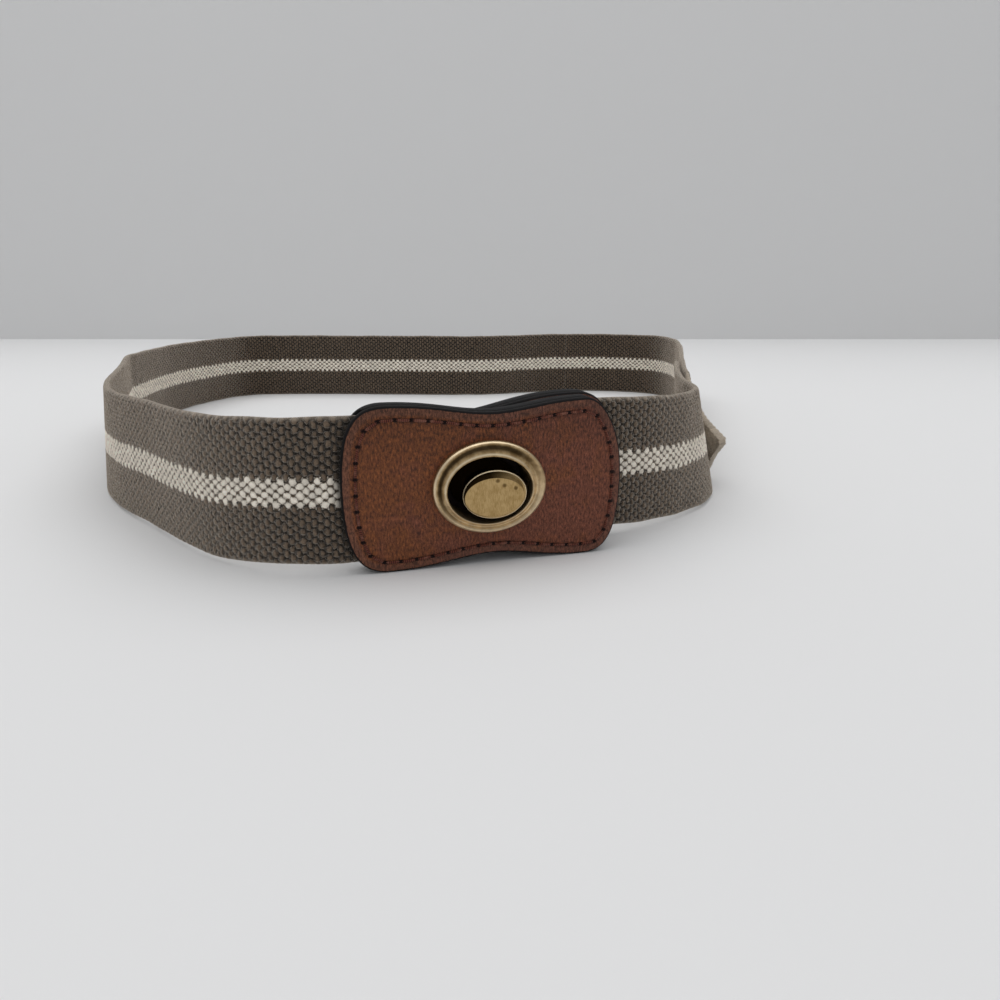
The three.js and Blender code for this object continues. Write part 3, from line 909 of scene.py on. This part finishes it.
def tab_face(name, tab, hole_middle, hole_size):
    """Leather face of a tab: a closed profile carried round the outline, rounded at the front and back of
    its edge, and with the stitching's dents in its front."""
    turn = np.radians(np.linspace(90, 0, BEND_STEPS))
    low = FACE_THICKNESS - FACE_BACK_ROUND
    inner = [(TRUE_INSET, share, 0) for share in np.linspace(1, 0, tab.rows)]
    edge = np.linspace(TRUE_INSET, FACE_FRONT_ROUND, EDGE_ROWS + 2)[1:-1]
    rim = [(inset, 0, 0) for inset in edge]
    bend = [(FACE_FRONT_ROUND * (1 - np.cos(t)), 0, FACE_FRONT_ROUND * (1 - np.sin(t))) for t in turn]
    wall = [(0, 0, FACE_FRONT_ROUND + (low - FACE_FRONT_ROUND) / 2)]
    turn_back = [
        (FACE_BACK_ROUND * (1 - np.cos(t)), 0, low + FACE_BACK_ROUND * np.sin(t)) for t in turn[::-2]
    ]
    rear = [(TRUE_INSET, 0, FACE_THICKNESS), (TRUE_INSET, 1, FACE_THICKNESS)]
    profile = np.array(inner + rim + bend + wall + turn_back + rear)
    flat = tab_grid(tab, tab.steps, profile, hole_middle, hole_size)
    dent, channel, hole = stitch_relief(tab, flat, profile, tab.steps)
    facing = (profile[:, 2] < 0.4 * FACE_FRONT_ROUND)[:, None]
    back = tab.back + profile[:, 2:3] + facing * dent
    inset = profile[:, :1] + INNER_INSET * profile[:, 1:2] + 0 * flat[..., 0]
    # Painted shadow: the rear leather round the stud's post is darkened through the hole mask
    if tab.tongue:
        apart = np.linalg.norm(flat - hole_middle, axis=-1)
        hole = np.maximum(hole, np.clip((POST_SHADE - apart) / POST_FADE, 0, 1))
    return build(
        name,
        layer_points(flat, back),
        grid_faces(len(profile), tab.steps, wrap_rows=True),
        inset=inset * facing,
        channel=channel * facing,
        hole=hole * facing,
    )


def tab_lining(name, tab, side, hole_middle, hole_size):
    """Black lining of a tab: a plate with a raised rim that closes the gap to the leather, but for the
    end where the webbing comes out. Its profile is carried round the outline as the face's is: inset, share
    of the way to the hole, 1 where the depth counts from the leather's front and 0 where it counts from the
    front of the rim, and that depth."""
    bevel = LINING_BEVEL
    outline, _ = tab_outline(tab, LINING_STEPS)
    outwards = side * (outline[:, 0] - tab.across)
    closed = np.clip((POCKET_MOUTH + MOUTH_STEP - outwards) / MOUTH_STEP, 0, 1)
    rim_front = POCKET_BACK + (LINING_FRONT - POCKET_BACK) * closed
    table = [
        (TRUE_INSET, 1, 1, POCKET_BACK),
        (RIM_WIDTH + RIM_FOOT, 0, 1, POCKET_BACK),
        (RIM_WIDTH, 0, 1, POCKET_BACK),
        (RIM_WIDTH, 0, 0, 0),
        (bevel, 0, 0, 0),
        (bevel / 3, 0, 0, bevel / 3),
        (0, 0, 0, bevel),
        (0, 0, 1, LINING_BACK - bevel),
        (bevel / 3, 0, 1, LINING_BACK - bevel / 3),
        (bevel, 0, 1, LINING_BACK),
        (TRUE_INSET / 2, 0, 1, LINING_BACK),
        (TRUE_INSET, 0, 1, LINING_BACK),
        (TRUE_INSET, 0.5, 1, LINING_BACK),
        (TRUE_INSET, 1, 1, LINING_BACK),
    ]
    profile = np.array(table)
    flat = tab_grid(tab, LINING_STEPS, profile, hole_middle, hole_size)
    back = tab.back + profile[:, 3:4] + (1 - profile[:, 2:3]) * rim_front
    return build(name, layer_points(flat, back), grid_faces(len(profile), LINING_STEPS, wrap_rows=True))


def stitches(name, tab, back, facing):
    """Stitches of one side of a tab as arched threads with round ends: each runs from hole to hole, sunk
    into the leather at its ends, and stands out of it between them."""
    _, _, holes = stitch_line(tab, STITCH_STEPS)
    ahead = np.roll(holes, -1, axis=0)
    step = ahead - holes
    u = np.linspace(0, 1, THREAD_RINGS)
    turn = np.linspace(0, 2 * np.pi, 8, endpoint=False)
    width = THREAD_RADIUS * np.sqrt(np.clip(1 - (2 * u - 1) ** 6, 0.02, 1))
    arch = THREAD_ARCH * np.sqrt(np.sin(np.pi * np.clip(u, 0.001, 0.999))) - THREAD_SUNK
    share = THREAD_SHARE[0] + THREAD_SHARE[1] * u
    middle = holes[:, None] + step[:, None] * share[:, None]
    sideways = np.stack([-step[:, 1], step[:, 0]], axis=1) / np.linalg.norm(step, axis=1, keepdims=True)
    flat = middle[:, :, None] + sideways[:, None, None] * (width[:, None] * np.cos(turn))[..., None]
    out = arch[:, None] + width[:, None] * np.sin(turn)
    points = layer_points(flat, tab.back + back - facing * out)
    count = len(u) * len(turn)
    quads = grid_faces(len(u), len(turn))
    cap = np.array([[0, 1, 2, 3], [0, 3, 4, 7], [4, 5, 6, 7]])
    quads = np.concatenate([quads, cap[:, ::-1], cap + count - len(turn)])
    every = (quads + count * np.arange(len(holes))[:, None, None]).reshape(-1, 4)
    weave = np.stack(np.broadcast_arrays(u[:, None], turn / (2 * np.pi)), axis=-1)
    weave = np.broadcast_to(weave, (len(holes), *weave.shape))
    return build(name, points, every, weave=np.array(weave))


def oval_rings(profile, middle, samples):
    """Ovals about a middle in planes along the closure's depth, one for each row of the profile."""
    turn = np.linspace(0, 2 * np.pi, samples, endpoint=False)
    flat = np.stack([np.cos(turn), np.sin(turn)], axis=-1) * profile[:, None, :2]
    return layer_points(flat + middle + profile[:, None, 3:], profile[:, 2:3])


def eyelet_ring():
    """Oval eyelet: its rounded section carried round the hole. Its upper part has a painted dark reflection
    in the groove between painted highlights on its rim and lip, its lower part has a painted bright
    reflection all over the front, and its throat has painted shade."""
    profile = rounded(RING_OVALS, RING_ROUND, RING_BEND, closed=True)
    out, back = profile[:, :1] - RING_HOLE[0], profile[:, 2:3]
    turn = np.linspace(0, 2 * np.pi, RING_STEPS, endpoint=False)
    # Painted light: bearings on the upper side get the painted dark reflection in the groove and the painted
    # highlights
    above = np.clip(np.sin(turn - 0.5) + 0.5, 0, 1)
    middle, width = RING_GROOVE
    groove = RING_GROOVE_DARK_REFLECTION * np.exp(-(((out - middle) / width) ** 4)) * (back < 0) * above
    # Painted shade in the throat
    inside = (out < 0.1) * np.clip((back + 1) / 3, 0, 1) * (1 - 0.5 * np.clip(-np.sin(turn), 0, 1))
    crests = sum(np.exp(-(((out - middle) / width) ** 2)) for middle, width in RING_CRESTS)
    # Painted bright reflection over the front of the lower part
    below = 0.45 * np.clip(0.3 - np.sin(turn - 0.3), 0, 1)
    crest = (back < -0.9) * np.maximum(RING_CREST_LIGHT * crests * above, below)
    points = oval_rings(profile, RING_MIDDLE, RING_STEPS)
    faces = grid_faces(len(profile), RING_STEPS, wrap_rows=True)
    return build("ring", points, faces, hollow=np.maximum(groove, inside), crest=crest)


def oval_stud():
    """Stud: ovals from its plate to its flat top, rounded between them, and closed by smaller ovals and a
    point at each end. It has painted shade under its head and a painted dark reflection in the upper left of
    the groove round the flat top, and a painted highlight on its rim."""
    profile = rounded(STUD_OVALS, STUD_ROUND, STUD_BEND)
    smaller = np.array([(s, s, 1, 1, 1) for s in STUD_CAP])
    profile = np.vstack([profile[0] * smaller, profile, profile[-1] * smaller[::-1]])
    rings = oval_rings(profile, STUD_MIDDLE, STUD_STEPS)
    poles = layer_points(STUD_MIDDLE + profile[[0, -1], 3:], profile[[0, -1], 2])
    points = np.concatenate([rings.reshape(-1, 3), poles])
    here = np.arange(STUD_STEPS)
    ahead = (here + 1) % STUD_STEPS
    last = (len(profile) - 1) * STUD_STEPS
    low = np.stack([ahead, here, np.full(STUD_STEPS, len(points) - 2)], axis=1)
    high = np.stack([last + here, last + ahead, np.full(STUD_STEPS, len(points) - 1)], axis=1)
    width, back = profile[:, :1], profile[:, 2:3]
    turn = np.linspace(0, 2 * np.pi, STUD_STEPS, endpoint=False)
    # Painted light: the upper left of the groove gets a painted dark reflection
    above = np.clip(0.55 + 0.55 * np.cos(turn - STUD_GROOVE_TURN), 0, 1) ** 1.5
    # Painted shade under the head
    under = np.clip(back - STUD_SHADE_DEPTHS[0], 0, 1) * (back < STUD_SHADE_DEPTHS[1])
    groove = (back < -2) * (width > STUD_GROOVE[0]) * (width < STUD_GROOVE[1]) * above
    # Painted highlight on the rim
    crest = 0.8 * (back < -1.7) * (width > STUD_GROOVE[1]) + 0 * above
    hollow = np.maximum(under, groove)
    quads = grid_faces(len(profile), STUD_STEPS)
    tones = {"hollow": np.append(hollow, [0, 0]), "crest": np.append(crest, [0, 0])}
    return build("oval_stud", points, quads, np.concatenate([low, high]), **tones)


def add_belt():
    """Every piece of the belt, in its finish."""
    elastic = webbing_finish()
    leather = leather_finish()
    lining = lining_finish()
    thread = thread_finish()
    route = strip_route(LONG_STRIP)
    for piece in webbing(route, strip_rings(route.length, True), True, LONG_PIECES):
        dress(piece, elastic, "webbing", "webbing_long")
    route = strip_route(SHORT_STRIP)
    for piece in webbing(route, strip_rings(route.length, False), False, ["webbing_under_lap"]):
        dress(piece, elastic, "webbing", "webbing_short")
    face = tab_face("front_leather", FRONT, RING_MIDDLE, FRONT_HOLE)
    dress(face, leather, "leather", "front_tab_face")
    face = tab_face("rear_leather", REAR, STUD_MIDDLE, REAR_HOLE)
    dress(face, leather, "leather", "rear_tab_face")
    backing = tab_lining("front_lining", FRONT, -1, RING_MIDDLE, FRONT_HOLE)
    dress(backing, lining, "edge_black", "front_tab_lining")
    backing = tab_lining("rear_lining", REAR, 1, STUD_MIDDLE, REAR_HOLE)
    dress(backing, lining, "edge_black", "rear_tab_lining")
    for side, tab in (("front", FRONT), ("rear", REAR)):
        dress(stitches(side + "_stitches", tab, 0, 1), thread, "leather", side + "_tab_face")
        seam = stitches(side + "_back_stitches", tab, LINING_BACK, -1)
        dress(seam, thread, "edge_black", side + "_tab_lining")
    dress(eyelet_ring(), brass_finish("antique_brass", False), "brass", "eyelet_ring")
    dress(oval_stud(), brass_finish("brushed_brass", True), "brass", "stud")


def stage_sheet(name, corners, material):
    """Flat sheet of the stage, its corners in metres."""
    mesh = bpy.data.meshes.new(name)
    mesh.from_pydata([tuple(corner) for corner in corners], [], [(0, 1, 2, 3)])
    sheet = bpy.data.objects.new(name, mesh)
    sheet.data.materials.append(material)
    bpy.context.scene.collection.objects.link(sheet)


def add_stage():
    """Pale floor, and a slightly darker wall behind it that faces the camera."""
    reach = STAGE_REACH
    corners = [(-reach, -reach, 0), (reach, -reach, 0), (reach, reach, 0), (-reach, reach, 0)]
    stage_sheet("floor", corners, plain_finish("pale_floor", tone(230, 230, 230), 0.9))
    turn = math.radians(CAMERA_TURN)
    away = Vector((-math.sin(turn), math.cos(turn), 0))
    side = Vector((math.cos(turn), math.sin(turn), 0))
    foot = away * WALL_DISTANCE
    rise = Vector((0, 0, WALL_HEIGHT))
    corners = [foot - side * reach, foot + side * reach]
    corners += [corners[1] + rise, corners[0] + rise]
    stage_sheet("wall", corners, plain_finish("pale_wall", tone(222, 222, 222), 0.95))


def add_lights():
    """Wide soft light above the back of the belt, shining straight down, and a dim pale sky all round."""
    lamp = bpy.data.lights.new("overhead", "AREA")
    lamp.shape = "RECTANGLE"
    lamp.size, lamp.size_y = OVERHEAD_SIZE
    lamp.energy = OVERHEAD_POWER
    softbox = bpy.data.objects.new("overhead", lamp)
    softbox.location = OVERHEAD_PLACE
    bpy.context.scene.collection.objects.link(softbox)
    world = bpy.data.worlds.new("studio")
    world.use_nodes = True
    sky = world.node_tree.nodes["Background"]
    sky.inputs["Color"].default_value = SKY_COLOUR
    sky.inputs["Strength"].default_value = SKY_STRENGTH
    bpy.context.scene.world = world
    bpy.context.scene.view_settings.view_transform = "Standard"


def add_camera():
    """Camera to the left of the belt's middle, looking a little down and to the right."""
    camera = bpy.data.cameras.new("camera")
    camera.lens = CAMERA_LENS
    camera.clip_start = 0.01
    stand = bpy.data.objects.new("camera", camera)
    stand.location = CAMERA_PLACE
    stand.rotation_euler = (math.radians(CAMERA_TILT), 0, math.radians(CAMERA_TURN))
    bpy.context.scene.collection.objects.link(stand)
    bpy.context.scene.camera = stand


add_camera()
add_belt()
add_stage()
add_lights()
